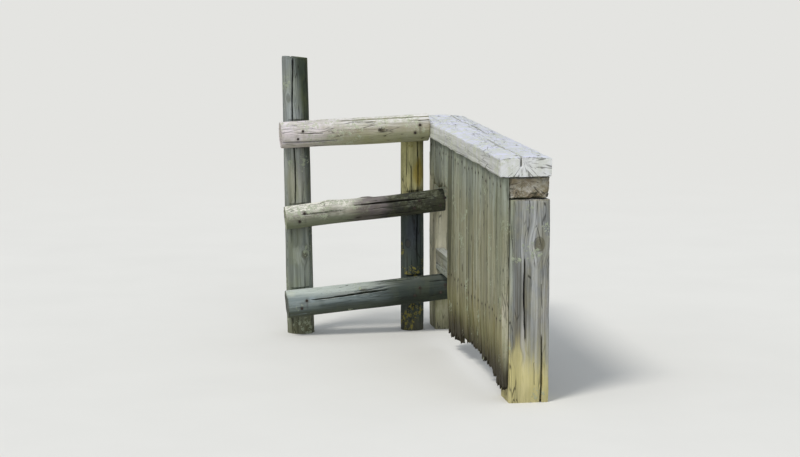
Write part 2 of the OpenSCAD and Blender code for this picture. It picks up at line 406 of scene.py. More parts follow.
def openSplits(g, spot, pattern, size, wear):
    state, cut = (1.0, 0.0, 0.0), 0.0
    rough = g.noise(pattern, (7.0, 5.0), 3.0) - 0.5
    ragged = g.noise(pattern, (14.0, 38.0)) * 1.3 + 0.35
    sway = g.calc("SINE", g.split(spot)[2] * (math.tau / splitSway["wave"])) * -splitSway["sway"]
    gape = (splitSway["width"], splitSway["depth"], 0.0)
    lines = [(sway + rough * 0.004, (angle, aside, start * size.z, stop * size.z, *gape))
             for angle, aside, start, stop in wear["splits"]]
    lines += [(rough * 0.03, line) for line in [*wear["opens"], *drawChecks(size, wear)]]
    for wander, (angle, *rest) in lines:
        state, cut = g.use(splitGroup, spot, state, cut, wander, ragged, *direction(angle), *rest)
    return state, cut


def meets(line, others, radius):
    # whether a check would run into one of the others; on a round timber the angle says where it is
    beside, along = checkRoom["beside"], checkRoom["along"]
    for other in others:
        turn = (line[0] - other[0] + 180) % 360 - 180
        apart = math.radians(turn) * radius if radius else line[1] - other[1] + turn
        if abs(apart) < beside and line[2] < other[3] + along and line[3] > other[2] - along:
            return True
    return False


def drawChecks(size, wear):
    # the many short checks of a dry timber, drawn by its own seed; more are drawn than kept, as some meet
    count, shortest, longest, widest, deepest = wear["checks"]
    dice = random.Random(wear["seed"])
    checks = []
    long = [(angle, aside, start * size.z, stop * size.z) for angle, aside, start, stop in wear["splits"]]
    for i in range(count * 3):
        angle = dice.uniform(0, 360) if wear["round"] else dice.choice((0, 90, 180, 270))
        half = (size.y if angle in (0, 180) else size.x) / 2
        if not wear["round"] and half < narrowEdge / 2:
            angle, half = dice.choice((0, 180)), size.y / 2
        aside = 0.0 if wear["round"] else dice.uniform(-0.88, 0.88) * half
        low = dice.uniform(-0.1, size.z)
        share = dice.uniform(0.35, 1)
        high = low + dice.uniform(shortest, longest)
        check = (angle, aside, low, high, widest * share, deepest * share, 0.0)
        if not meets(check, [*long, *wear["opens"], *checks], size.x / 2 if wear["round"] else 0):
            checks.append(check)
    return checks[:count]


def wearSurface(g, spot, parts, pattern, bent, isEnd, wear):
    # how deep the grain's relief, hollows, dents, rot and bites go
    ribs = g.noise(bent, (55.0, 1.8), 3.0, 0.6) + g.noise(pattern, (170.0, 5.0), 2.0, 0.6) * 0.4
    loss = (0.7 - ribs) * wear["relief"]
    loss = loss + (g.noise(pattern, (6.0, 2.4)) - 0.35) * wear["hollow"]
    loss = loss + g.ease(g.noise(pattern, (34.0, 7.0)), 0.66, 0.76) * wear["dent"]
    sawn = g.noise(g.vector("ADD", pattern, (3.0, 5.0, 0.0)), (90.0, 30.0), 3.0, 0.65)
    loss = loss + isEnd * sawn * wear["endRough"]
    px, py = (g.calc("ADD", parts[i], wear["pith"][i]) for i in (0, 1))
    rings = g.calc("SQRT", px * px + py * py) + g.noise(pattern, 14.0) * 0.03
    ringed = g.noise(g.join(rings, wear["seed"], 0.0), (95.0, 1.0, 1.0), 2.0, 0.6)
    loss = loss + isEnd * ringed * wear["endRings"]
    for start, stop, depth in wear["rot"]:
        decay = g.ease(parts[2] + (g.noise(pattern, (16.0, 5.0), 3.0) - 0.5) * 0.12, stop, start)
        loss = loss + decay * g.ease(g.noise(bent, (95.0, 7.0), 3.0, 0.65), 0.32, 0.68) * depth
    for bx, by, bz, reach, depth in wear["bites"]:
        far = g.vector("DISTANCE", spot, (bx, by, bz), output="Value") / reach
        rough = g.noise(pattern, (60.0, 18.0), 3.0, 0.6) * 0.9 + 0.55
        loss = loss + g.ease(far / rough, 1.05, 0.35) * depth
    return loss


def roundArrises(g, spot, pattern, size, wear):
    # worn corners of a sawn timber, by a radius that changes along them
    halves = (size.x / 2, size.y / 2, size.z / 2)
    middle = (0.0, 0.0, size.z / 2)
    for a, b in ((0, 1), (1, 2), (0, 2)):
        chips = g.noise(pattern, (26.0, 7.0), 3.0, 0.6)
        most = wear["arris"] * (1.0 if b == 1 else wear["endArris"])
        radius = g.ease(chips, 0.3, 0.75) * most * 1.3 + most * 0.45
        parts = g.split(spot)
        outA = g.larger(abs(parts[a] - middle[a]) - (halves[a] - radius), 0.0)
        outB = g.larger(abs(parts[b] - middle[b]) - (halves[b] - radius), 0.0)
        long = g.calc("SQRT", outA * outA + outB * outB) + 0.000001
        both = g.calc("GREATER_THAN", g.calc("MINIMUM", outA, outB), 0.0)
        trim = (1.0 - g.larger(outA, outB) / long) * both
        for axis, beyond in ((a, outA), (b, outB)):
            parts[axis] = parts[axis] - g.calc("SIGN", parts[axis] - middle[axis]) * beyond * trim
        spot = g.join(*parts)
    return spot


def crownTop(g, spot, size, fall):
    # rain runs off a cap: its top, which lies towards -Y until it is laid in place, falls to both edges
    x, y, z = g.split(spot)
    top = g.ease(y, size.y / 2, -size.y / 2)
    side = abs(x) / (size.x / 2)
    return g.join(x, y + top * side * side * fall, z)


def frayFeet(g, spot, parts, pattern, wear):
    # rotted feet pull back unevenly into splinters
    px, py = g.split(pattern)[:2]
    for height, reach, amount in wear["fray"]:
        fringe = g.ease(g.noise(g.join(px * 0.25, py, 0.0), (150.0, 1.0), 2.0, 0.6), 0.3, 0.72)
        tufts = g.ease(g.noise(g.join(px * 0.2, py, 5.0), (38.0, 1.0), 1.0), 0.35, 0.7)
        pulled = g.ease(parts[2], height + reach, height) * (fringe * 0.55 + tufts * 0.45) * amount
        spot = g.vector("ADD", spot, g.join(0.0, 0.0, pulled))
    return spot


def rustBelow(g, spot, pattern, nails, down):
    rust = 0.0
    across = g.noise(pattern, (120.0, 60.0)) - 0.5
    for nail in nails:
        rust = g.use(stainGroup, spot, tuple(nail), tuple(down), rust, across)[0]
    return rust


def weather(piece, wear, nails=(), down=(0, 0, -1)):
    wear = {**plainWear, **wear}
    tree = bpy.data.node_groups.new(piece.name + "Wear", "GeometryNodeTree")
    for way in ("INPUT", "OUTPUT"):
        tree.interface.new_socket("Geometry", in_out=way, socket_type="NodeSocketGeometry")
    g = Graph(tree)
    blank = g.add("NodeGroupInput", {}, {})
    spot = g.add("GeometryNodeInputPosition", {}, {})
    normal = g.add("GeometryNodeInputNormal", {}, {})
    parts = g.split(spot)
    size = piece.dimensions
    seed = wear["seed"]
    pattern = g.vector("ADD", spot, (0.37 * seed, 0.61 * seed, 1.7 * seed))  # each seed has its own noise
    isEnd = g.ease(abs(g.split(normal)[2]), 0.6, 0.8)
    if wear["standing"]:
        isEnd = isEnd * g.ease(parts[2], 0.0, 0.02)

    knot, proud, bent = growKnots(g, spot, wear)
    state, cutIn = openSplits(g, spot, pattern, size, wear)
    loss = wearSurface(g, spot, parts, pattern, bent, isEnd, wear) - proud
    if not wear["round"]:
        loss = g.larger(loss + 0.0004, 0.0)
    shaped = spot if wear["round"] else roundArrises(g, spot, pattern, size, wear)
    moved = g.vector("ADD", shaped, g.scaled(normal, loss * -1.0 - cutIn))
    if wear["crown"]:
        moved = crownTop(g, moved, size, wear["crown"])
    if wear["thin"]:
        start, stop, depth = wear["thin"]
        share = g.add("ShaderNodeMapRange", {}, {"Value": parts[2], "From Min": stop, "From Max": start})
        front = g.ease(parts[0], size.x / 2, -size.x / 2)
        moved = g.vector("ADD", moved, g.join(share * front * depth, 0.0, 0.0))
    moved = frayFeet(g, moved, parts, pattern, wear)
    bow = wear["bow"] * 4  # because the noise strays a quarter to either side
    bends = [g.noise(g.join(parts[2], start + seed, 0.0), (1.6, 1.0, 1.0), 1.0) - 0.5 for start in (0.0, 7.5)]
    moved = g.vector("ADD", moved, g.join(bends[0] * bow, bends[1] * bow, 0.0))

    put = g.add("GeometryNodeSetPosition", {}, {"Geometry": blank, "Position": moved})
    pith = g.vector("ADD", bent, (*wear["pith"], 0.9 * seed))
    even = isEnd * (wear["endRough"] + wear["endRings"]) * 0.6
    pit = g.ease(g.larger(loss - even - 0.004, 0.0), 0.0006, 0.009)
    kept = {"timber": pith, "split": state, "pit": pit, "endGrain": isEnd, "knot": knot, "tone": wear["tone"],
            "rust": rustBelow(g, spot, pattern, nails, down)}
    for label, given in kept.items():
        kind = "FLOAT_VECTOR" if label in ("timber", "split") else "FLOAT"
        sockets = {"Geometry": put, "Name": label, "Value": given}
        put = g.add("GeometryNodeStoreNamedAttribute", {"data_type": kind, "domain": "POINT"}, sockets)
    g.add("NodeGroupOutput", {}, [put])
    worn = piece.modifiers.new("weather", "NODES")
    worn.node_group = tree
    pickOut(piece)
    bpy.ops.object.modifier_apply(modifier=worn.name)
    bpy.data.node_groups.remove(tree)


# Finishes

# What a timber's look starts from; each piece below gives what differs
plainLook = {
    "dark": "#4f514a", "wood": "#7d8078", "pale": "#a9aba3", "crack": "#17150f", "bands": 0.25,
    "ring": 0.0052, "ringRelief": 0.25, "ringShare": 0.45, "end": "#7b6d58", "endShare": 0.6,
    "knot": "#4a4136", "warm": "#8a7a5e", "warmShare": 0.3,
    # paler faces turned up: partly sun bleaching, partly painted top light
    "bleachAndTopLight": "#b9bbb8", "bleachAndTopLightShare": 0.6, "bleachAndTopLightFrom": 0.1,
    # darker faces turned down: painted underside shade with some greenish growth in it
    "shadedUnderside": "#4d4f3e", "shadedUndersideShare": 0.7, "shadedUndersideFrom": 0.1,
    "stainsAndPaintedShade": [],  # direction, where it starts and is full, share, raggedness and colour; some are painted shade
    "blotsAndPaintedLight": [],  # centre, reach, share and colour; some are painted shade and one a painted highlight
    "algae": "#7f8450", "algaeShare": 0.6, "algaeTop": 0.1, "algaeRagged": 0.3, "algaeDrift": 0.2,
    # a dark band at the foot: wet wood and splashed earth, and on the boards painted ground shade as well
    "dampAndShade": "#4c4638", "dampAndShadeShare": 0.5, "dampAndShadeTop": 0.11, "speckShare": 0.4,
    "lichen": "#b9c1aa", "lichenDark": "#8f9980", "lichenShare": 0.4, "lichenSize": 0.022,
    "lichenOpacity": 0.85, "lichenShy": 0.3,  # the last is how far it keeps off wood beneath any stain, painted shade included
}


def timberFinish(name, look):
    look = {**plainLook, **look}
    material = bpy.data.materials.new(name)
    g = blankGraph(material)
    grain = g.attribute("timber", "Vector")
    pit, endGrain, knot, tone, rust = map(g.attribute, ("pit", "endGrain", "knot", "tone", "rust"))
    offSplit, gape, nearSplit = g.split(g.attribute("split", "Vector"))
    place = g.texturePlace()
    height = g.split(place)[2]
    facing = g.split(g.add("ShaderNodeNewGeometry", {}, {}, "Normal"))[2]

    # wood: broad streaks, fibres and growth rings
    streak = g.noise(grain, (48.0, 1.3), 4.0, 0.62, 0.4)
    fibre = g.noise(grain, (430.0, 9.0), 3.0, 0.6)
    patch = g.noise(grain, (9.0, 2.6), 3.0, 0.55)
    gx, gy, gz = g.split(grain)
    waver = (g.noise(grain, (9.0, 0.9)) - 0.5) * 0.02
    fromPith = g.calc("SQRT", gx * gx + gy * gy) + waver
    ring = g.calc("SINE", fromPith * (math.tau / look["ring"])) * 0.5 + 0.5
    shade = streak * 0.62 + fibre * 0.3 + patch * 0.3 - g.ease(ring, 0.55, 0.98) * 0.07
    bands = g.noise(g.vector("ADD", grain, (7.0, 3.0, 0.0)), (26.0, 0.8)) - 0.5
    shade = shade + (tone - 0.5) * 0.35 - 0.11 + bands * look["bands"]
    stops = [(0.26, tint(look["dark"])), (0.46, tint(look["wood"])), (0.66, tint(look["pale"]))]
    wood = g.add("ShaderNodeValToRGB", {"stops": stops}, [shade], "Color")
    warm = g.ease(g.noise(grain, (14.0, 1.7), 3.0, 0.6), 0.48, 0.72) * look["warmShare"]
    wood = g.blend(warm, wood, look["warm"])
    wood = g.blend(endGrain * look["endShare"], wood, look["end"])
    wood = g.blend(endGrain * g.ease(ring, 0.35, 0.9) * look["ringShare"], wood, look["dark"])
    knotRing = g.calc("SINE", knot * 34.0) * 0.5 + 0.5
    knotRim = g.ease(abs(knot + (streak - 0.5) * 0.1 - 0.12), 0.1, 0.03)
    wood = g.blend(g.ease(knot, 0.02, 0.35) * (knotRing * 0.35 + 0.6), wood, look["knot"])
    wood = g.blend(knotRim * 0.5, wood, look["crack"])

    # faces turned up are paler: partly sun bleaching, partly painted top light
    topBleachAndLight = g.ease(facing + (patch - 0.5) * 0.5, look["bleachAndTopLightFrom"], look["bleachAndTopLightFrom"] * 0.4 + 0.8)
    wood = g.blend(topBleachAndLight * look["bleachAndTopLightShare"], wood, look["bleachAndTopLight"])
    # faces turned down take a painted underside shade, with some greenish growth in it
    undersideShade = g.ease(facing * -1.0 + (streak - 0.5) * 0.5, look["shadedUndersideFrom"], look["shadedUndersideFrom"] + 0.7)
    wood = g.blend(undersideShade * look["shadedUndersideShare"], wood, look["shadedUnderside"])
    # each stain starts along a direction and each blot lies round a point; some of both are painted shade,
    # one blot a painted highlight, and the grain shows through all
    stainAndShadeReach = 0.0
    clear = g.ease(shade, 0.3, 0.62)
    for way, start, full, share, ragged, colour in look["stainsAndPaintedShade"]:
        along = g.vector("DOT_PRODUCT", place, way, output="Value")
        reach = g.ease(along + (patch - 0.5) * 0.12 + (streak - 0.5) * ragged, start, full) * share
        wood = g.blend(reach, wood, g.blend(clear, tint(colour, 0.62), colour))
        stainAndShadeReach = g.larger(reach, stainAndShadeReach)
    for centre, reach, share, colour in look["blotsAndPaintedLight"]:
        off = g.vector("DIVIDE", g.vector("SUBTRACT", place, centre), reach)
        far = g.vector("LENGTH", off, output="Value") + (streak - 0.5) * 1.1 + (patch - 0.5) * 0.8
        wood = g.blend(g.ease(far, 1.05, 0.45) * share, wood, g.blend(clear, tint(colour, 0.62), colour))

    # mildew specks, green algae that climbs from the ground, and a dark band of wet and splashed earth at the
    # foot, which on the boards is deepened to near black as painted shade of the ground beneath
    speck = g.ease(g.noise(grain, (260.0, 70.0), 2.0, 0.7), 0.56, 0.7) * g.ease(patch, 0.35, 0.65)
    wood = g.blend(speck * look["speckShare"], wood, look["dark"])
    edge = height + (g.noise(grain, (40.0, 3.0), 3.0, 0.6) - 0.5) * look["algaeRagged"]
    algae = g.ease(edge, look["algaeTop"] + 0.12, look["algaeTop"] - 0.12)
    drift = g.ease(g.noise(place, (17.0, 8.0), 4.0, 0.62), 0.42, 0.62)
    film = g.larger(algae * (drift * 0.45 + 0.55), drift * look["algaeDrift"]) * look["algaeShare"]
    wood = g.blend(film, wood, look["algae"])
    rising = height + (patch - 0.5) * 0.08 + (streak - 0.5) * 0.12
    dampAndShade = g.ease(rising, look["dampAndShadeTop"], look["dampAndShadeTop"] * 0.45 - 0.03) * look["dampAndShadeShare"]
    wood = g.blend(dampAndShade, wood, look["dampAndShade"])

    # crusts of lichen, each with a ragged edge, where the colony noise lets them grow
    colony = g.noise(place, 8.0) + facing * 0.08
    room = g.ease(colony, 0.66 - 0.3 * look["lichenShare"], 0.76 - 0.3 * look["lichenShare"])
    mottle = g.noise(place, 420.0, 2.0, 0.7)
    lichen = 0.0
    for size, least in ((look["lichenSize"], 0.44), (look["lichenSize"] * 0.42, 0.4)):
        wobble = (g.noise(place, 2.6 / size, 4.0, 0.66) - 0.5) * 0.95
        crust = g.cells(place, 1 / size) + wobble
        lichen = g.larger(g.ease(crust + (1.0 - room) * 0.5, least, least - 0.13), lichen)
    lichen = lichen * room * (1.0 - endGrain * 0.4) * (1.0 - stainAndShadeReach * look["lichenShy"])
    crustTint = g.blend(g.ease(mottle, 0.35, 0.65), look["lichenDark"], look["lichen"])
    wood = g.blend(lichen * look["lichenOpacity"], wood, crustTint)

    # rust round the nails, hairline checks, then the dark of the open ones
    wood = g.blend(rust * 0.65, wood, "#36291e")
    hairSpot = g.vector("ADD", grain, g.join(waver * 0.3, waver * 0.3, 0.0))
    hair = g.ease(g.cells(hairSpot, (85.0, 5.5), "DISTANCE_TO_EDGE"), 0.05, 0.008)
    hair = hair * g.ease(g.noise(grain, (22.0, 3.0)), 0.45, 0.6)
    polar = g.join(g.calc("ARCTAN2", gy, gx), fromPith, gz)
    spokes = g.ease(abs(g.noise(polar, (3.2, 5.0, 0.5), 2.0, 0.4) - 0.5), 0.035, 0.008)
    spokes = spokes * g.ease(g.noise(polar, (5.0, 40.0, 0.5), 1.0), 0.42, 0.55)
    hair = g.larger(hair * (1.0 - endGrain), spokes * endGrain) * (1.0 - lichen)
    wood = g.blend(hair * 0.7, wood, look["crack"])
    wood = g.blend(pit * 0.75, wood, look["crack"])
    offSplit = abs(offSplit + (g.noise(grain, (160.0, 26.0), 2.0, 0.6) - 0.5) * 0.0016)
    gap = g.ease(offSplit / (gape + 0.0002), 1.25, 0.55) * nearSplit
    wood = g.blend(g.ease(offSplit - gape, 0.003, 0.0) * nearSplit * 0.35, wood, look["dark"])
    wood = g.blend(gap * 0.95, wood, look["crack"])

    relief = fibre * 0.45 + ring * look["ringRelief"] + lichen * (mottle * 0.6 + 0.5) - hair * 0.8
    relief = relief - speck * 0.15 - knotRing * knot * 0.4 - gap * 1.5
    rough = 0.86 - dampAndShade * 0.2 - film * 0.06 + mottle * 0.1
    g.closeSurface((0.8, 0.0016, relief), {"Base Color": wood, "Roughness": rough, "Specular IOR Level": 0.3})
    return material


creaseAngle = 42  # edges sharper than this, in degrees, stay sharp


def finish(piece, material, slot, *nodes):
    # the last steps that every piece shares
    piece.data.materials.clear()
    piece.data.materials.append(material)
    pickOut(piece)
    bpy.ops.object.shade_smooth_by_angle(angle=math.radians(creaseAngle))
    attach(piece, "root")
    if nodes:
        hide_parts(*nodes)
    print("made", piece.name, len(piece.data.polygons), "faces")


def dress(piece, spec, node):
    finish(piece, timberFinish(spec["slot"], spec["look"]), spec["slot"], node)


# Sawn timbers. The square posts stand, each split where it dried round its heart.

postCell = (0.0036, 0.0036, 0.0072)
squareWear = {"standing": True, "hollow": 0.003, "endRough": 0.003}
squarePosts = {
    "end_post": {
        "slot": "end_post_wood", "cell": postCell,
        "wear": {
            **squareWear, "seed": 1, "rot": [(-0.02, 0.09, 0.004)],
            "splits": [(-90, -0.018, 0.28, 0.75), (-90, 0.05, -0.1, 0.36), (180, -0.02, 0.25, 1.1),
                       (0, 0.0, 0.1, 0.8), (90, 0.01, 0.05, 1.1)],
            "knots": [(-90, 0.04, 0.655, 0.056, 0.0035), (-90, -0.045, 0.19, 0.03, 0.002),
                      (0, 0.02, 0.45, 0.04, 0.003), (90, -0.03, 0.33, 0.036, 0.002)],
        },
        "look": {
            "dark": "#5a5c57", "wood": "#8b8e8d", "pale": "#babdbe", "bands": 0.75, "knot": "#4c4b46",
            "algae": "#c3ba7e", "algaeShare": 0.7, "algaeTop": 0.22, "dampAndShadeShare": 0.15, "lichenShare": 0.3,
            "stainsAndPaintedShade": [((-10, 0, 0.5), 0.85, 1.15, 0.4, 0.3, "#a3ad87"),
                       ((0.6, 0, 1), 0.22, 0.1, 0.85, 0.4, "#e9dfa6"),
                       # a dark strip up the edge that meets the boards, stronger higher up: painted shade of
                       # the contact
                       ((-100, 0, 1), 8.65, 8.85, 0.75, 0.3, "#3c3e36")],
            "blotsAndPaintedLight": [((-0.02, -0.09, 0.45), (0.034, 0.06, 0.18), 0.6, "#66675f")],
        },
    },
    "corner_post": {
        "slot": "corner_post_wood", "cell": postCell,
        "wear": {
            **squareWear, "seed": 2, "rot": [(-0.02, 0.09, 0.005)], "checks": (14, 0.12, 0.45, 0.0025, 0.004),
            "splits": [(90, 0.01, 0.1, 1.1), (-90, 0.0, -0.1, 0.7), (0, -0.01, 0.05, 1.1),
                       (180, 0.02, 0.1, 1.1)],
            "knots": [(90, -0.03, 0.52, 0.05, 0.003), (0, 0.03, 0.22, 0.04, 0.003)],
        },
        "look": {"dark": "#95917c", "wood": "#ccc7ac", "pale": "#e3dfc8", "bands": 0.5, "algaeTop": 0.25},
    },
}


def makeSawn(node, spec, lying):
    # a lying timber has its grain along Y
    low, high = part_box(node)
    size = high - low
    middle = (low + high) / 2
    foot = (middle.x, low.y, middle.z) if lying else (middle.x, middle.y, low.z)
    if lying:
        size = Vector((size.x, size.z, size.y))
    timber = sawnBlank(node + "_timber", size)
    meshBlank(size, spec["cell"])
    lay = layMatrix((-90 if lying else 0, 0, 0), foot)
    nails = [lay.inverted() @ Vector(nail) for nail in spec.get("nails", [])]
    weather(timber, spec["wear"], nails, (0, 1, 0))
    layInPlace(timber, lay)
    if not lying:
        levelFoot(low.z)
    dress(timber, spec, node)
    return timber


for node, spec in squarePosts.items():
    makeSawn(node, spec, False)
print("square posts done")


# The timbers that lie along the wall

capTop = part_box("wall_cap")[1].z
capNails = [(x, y, capTop) for y in (-0.05, 0.38, 0.86, 1.3, 1.74) for x in (-0.05, 0.04)]
wallTimbers = {
    "top_plate": {
        "slot": "plate_wood", "cell": (0.0042, 0.0042, 0.0092),
        "wear": {
            "seed": 3, "arris": 0.008, "endArris": 1.2, "checks": (14, 0.15, 0.6, 0.0025, 0.004),
            "splits": [(0, 0.01, 0.15, 0.6), (0, -0.018, 0.45, 1.1)], "rot": [(-0.01, 0.05, 0.004)],
            "bites": [(0.085, 0.045, 0.0, 0.036, 0.018), (-0.085, 0.02, 0.0, 0.026, 0.012),
                      (0.02, 0.045, 0.0, 0.03, 0.014), (0.06, -0.045, 0.0, 0.026, 0.01)],
            "relief": 0.0035, "endRough": 0.007, "endRings": 0.01, "pith": (0.02, 0.03),
        },
        "look": {
            "dark": "#574c3b", "wood": "#a39a86", "pale": "#e0ddd3", "bands": 0.8, "speckShare": 0.6,
            "end": "#b3a78f", "endShare": 0.3, "warm": "#94764c", "warmShare": 0.7,
            "lichen": "#dedcd2", "lichenDark": "#b5b2a4", "lichenShare": 0.7,
        },
    },
    "wall_rail": {
        "slot": "wall_rail_wood", "cell": (0.0034, 0.0036, 0.009),
        "wear": {
            "seed": 4, "arris": 0.004, "checks": (8, 0.15, 0.5, 0.002, 0.003), "pith": (0.05, 0.02),
            "knots": [(0, 0.01, 0.52, 0.03, 0.002), (0, -0.02, 1.12, 0.026, 0.002)],
        },
        "look": {
            "dark": "#5b5f55", "wood": "#868c82", "pale": "#abb0a7", "algaeShare": 0.4, "algaeDrift": 0.4,
        },
    },
    "wall_cap": {
        "slot": "cap_wood", "cell": (0.0044, 0.0044, 0.0088), "nails": capNails,
        "wear": {
            "seed": 5, "arris": 0.01, "endArris": 0.8, "checks": (14, 0.15, 0.6, 0.002, 0.0035),
            "crown": 0.009, "splits": [(-90, -0.02, -0.05, 0.4), (-90, 0.035, 0.46, 1.1)],
            "knots": [(-90, 0.06, 0.56, 0.045, 0.003), (-90, -0.05, 1.35, 0.05, 0.003)],
            "relief": 0.0032, "endRough": 0.005, "pith": (0.012, 0.02),
        },
        "look": {
            "dark": "#a4a6a4", "wood": "#ced0cf", "pale": "#e6e7e8", "crack": "#3a382f", "knot": "#8f8a7e",
            "end": "#f1f3f5", "endShare": 0.8, "ringShare": 0.22, "warmShare": 0.1, "speckShare": 0.25,
            "bleachAndTopLight": "#d3d6ec", "bleachAndTopLightShare": 0.72, "shadedUnderside": "#6b6c5c",
            "algae": "#aeb58e", "algaeTop": -1.0, "algaeDrift": 0.45,
            "lichen": "#dfe3d4", "lichenDark": "#b6bea3", "lichenShare": 0.62,
        },
    },
}
madeWall = {node: makeSawn(node, spec, True) for node, spec in wallTimbers.items()}
print("plate, rail and cap of the wall done")


# Boards. Their rotted feet keep the outline of their solids, and fray from there.

boardLook = {
    "dark": "#54564a", "wood": "#8b8c77", "pale": "#b4b5a1", "bands": 0.5, "speckShare": 0.5,
    "warm": "#80723f", "warmShare": 0.5, "end": "#6a5f48", "lichenShare": 0.35,
    "algae": "#7f8253", "algaeShare": 0.6, "algaeTop": 0.3, "algaeDrift": 0.3,
    # the near-black feet are rot and wet wood, deepened as painted shade of the ground beneath
    "dampAndShade": "#292318", "dampAndShadeShare": 0.94, "dampAndShadeTop": 0.29,
    # a dark board at the far end, paler ones on both sides of the middle, a mossy one at the near end
    "blotsAndPaintedLight": [((-0.115, 1.1, 0.7), (0.06, 0.085, 0.4), 0.85, "#4b4d3b"),
              ((-0.115, 0.93, 0.7), (0.06, 0.085, 0.3), 0.4, "#bcbea6"),
              ((-0.115, 0.27, 0.6), (0.06, 0.14, 0.36), 0.45, "#c3c1a4"),
              ((-0.115, -0.01, 0.66), (0.06, 0.1, 0.32), 0.5, "#6a6f58")],
    "stainsAndPaintedShade": [((0, 0, 1), 0.5, 0.1, 0.5, 0.3, "#9f8c4b"), ((0, 0, 1), 0.68, 0.86, 0.55, 0.3, "#adb9b2"),
               ((0, -1, -0.5), -0.15, 0.0, 0.5, 0.2, "#bba98c"),
               ((0, -100, -1), 7.8, 8.0, 0.75, 0.3, "#d3d1c0")],
}
boardWear = {
    "through": 1.0, "arris": 0.004, "endArris": 0.4, "checks": (7, 0.1, 0.4, 0.002, 0.003),
    "relief": 0.0028, "hollow": 0.002,
}
boardKinds = {
    "board": {"count": 8, "broken": False, "rot": [(0.0, 0.26, 0.004)], "fray": [(0.0, 0.11, 0.026)],
              "darker": 0.0, "nailHeights": (0.886, 0.346)},
    "short_board": {"count": 3, "broken": True, "rot": [(-0.02, 0.07, 0.003)], "fray": [(0.0, 0.09, 0.03)],
                    "darker": 0.3, "nailHeights": (0.886,)},
}
boardSpec = {
    "cell": (0.0038, 0.0032, 0.0075),
    "thinnest": 0.003,  # how much thinner the thinnest board is
    "shrink": 0.004,  # how much narrower the narrowest board is
    "footCorners": 7,
    "thinShare": 0.24,  # rot has thinned this share of its length, by so much at the foot
    "thinDepth": 0.007,
    "split": (0.0055, 0.0135, 1.0),  # width, depth, and 1 because it goes through, as for the next two
    "headCheck": (0.002, 0.006, 1.0),
    "footCheck": (0.003, 0.007, 1.0),
    # from here the least and most of what is drawn for each board
    "headChecks": ((-0.05, 0.05), (0.12, 0.3)),  # offset, and how far it runs from the end
    "footChecks": ((0.02, 0.06), (0.06, 0.4)),
    "knots": ((-0.05, 0.05), (0.2, 0.5), (0.014, 0.034)),  # offset, height and girth
    "knotStep": 0.4, "knotSwell": 0.0015,
    "tones": (0.22, 0.78),
    "piths": ((0.05, 0.11), (-0.04, 0.04)),
    "nailEdge": 0.04,  # from a board's edge to its nails
    "nailDrift": 0.012,
}


def footOutline(node):
    # how high the solid's lower edge is at each corner across the board, and where the split in it ends
    low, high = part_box(node)
    points = [point.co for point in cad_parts[node].data.vertices if point.co.z < high.z - 0.05]
    steps = boardSpec["footCorners"] - 1
    corners = [low.y + (high.y - low.y) * k / steps for k in range(steps + 1)]
    edge = [(y, min(co.z for co in points if abs(co.y - y) < 0.005)) for y in corners]
    head = max((co for co in points if low.y + 0.01 < co.y < high.y - 0.01), key=lambda co: co.z)
    return edge, head


def draw(dice, spans):
    return [dice.uniform(*span) for span in spans]


def makeBoard(node, number, kind, material, dice):
    low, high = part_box(node)
    thick = high.x - low.x - dice.random() * boardSpec["thinnest"]
    size = Vector((thick, high.y - low.y, high.z - low.z))
    board = sawnBlank(node + "_timber", size)
    steps = boardSpec["footCorners"] - 1
    cutAcross(1, steps)
    middle = (low.y + high.y) / 2
    edge, head = footOutline(node)
    for y, z in edge:
        choose("VERT", lambda vert: vert.co.z < 0.001 and abs(vert.co.y + middle - y) < 0.001)
        if z - low.z > 0.0005:
            bpy.ops.transform.translate(value=(0, 0, z - low.z))
    meshBlank(size, boardSpec["cell"], (1, steps, 1))

    side = dice.choice((-1, 1))
    knots = []
    for k in range(0 if kind["broken"] else dice.choice((1, 2))):
        aside, height, girth = draw(dice, boardSpec["knots"])
        knots.append((180, aside, height + boardSpec["knotStep"] * k, girth, boardSpec["knotSwell"]))
    opens = [(180, middle - head.y, -0.15, head.z - low.z, *boardSpec["split"])]
    if not kind["broken"]:
        aside, reach = draw(dice, boardSpec["headChecks"])
        opens.append((180, aside, size.z - reach, size.z + 0.1, *boardSpec["headCheck"]))
        aside, reach = draw(dice, boardSpec["footChecks"])
        opens.append((180, side * aside, -0.1, reach, *boardSpec["footCheck"]))
    tone = dice.uniform(*boardSpec["tones"]) - kind["darker"]
    pithX, pithY = draw(dice, boardSpec["piths"])
    wear = {**boardWear, "seed": 10 + number, "opens": opens, "knots": knots, "rot": kind["rot"],
            "fray": kind["fray"], "tone": tone, "pith": (pithX * side, pithY),
            "thin": (0.0, size.z * boardSpec["thinShare"], boardSpec["thinDepth"])}
    shrink = 1 - dice.random() * boardSpec["shrink"] / size.y
    lay = layMatrix((0, 0, 0), (boardBack - thick / 2, middle, low.z)) @ Matrix.Scale(shrink, 4, (0, 1, 0))
    out = size.y / 2 - boardSpec["nailEdge"]
    drift = boardSpec["nailDrift"]
    nails = [Vector((boardBack - thick, middle + way * out, z + dice.uniform(-drift, drift)))
             for z in kind["nailHeights"] for way in (-1, 1)]
    weather(board, wear, [lay.inverted() @ nail for nail in nails])
    layInPlace(board, lay)
    finish(board, material, "board_wood", node)
    return board, nails


def makeBoards():
    dice = random.Random(11)
    material = timberFinish("board_wood", boardLook)
    made = []
    for name, kind in boardKinds.items():
        for i in range(kind["count"]):
            made.append(makeBoard(f"{name}_{i + 1}", len(made), kind, material, dice))
    return made


boards = makeBoards()
print("boards done")


# Round rails, hewn flat where they meet the posts. Lengths are in metres, from the frame where it gives them.

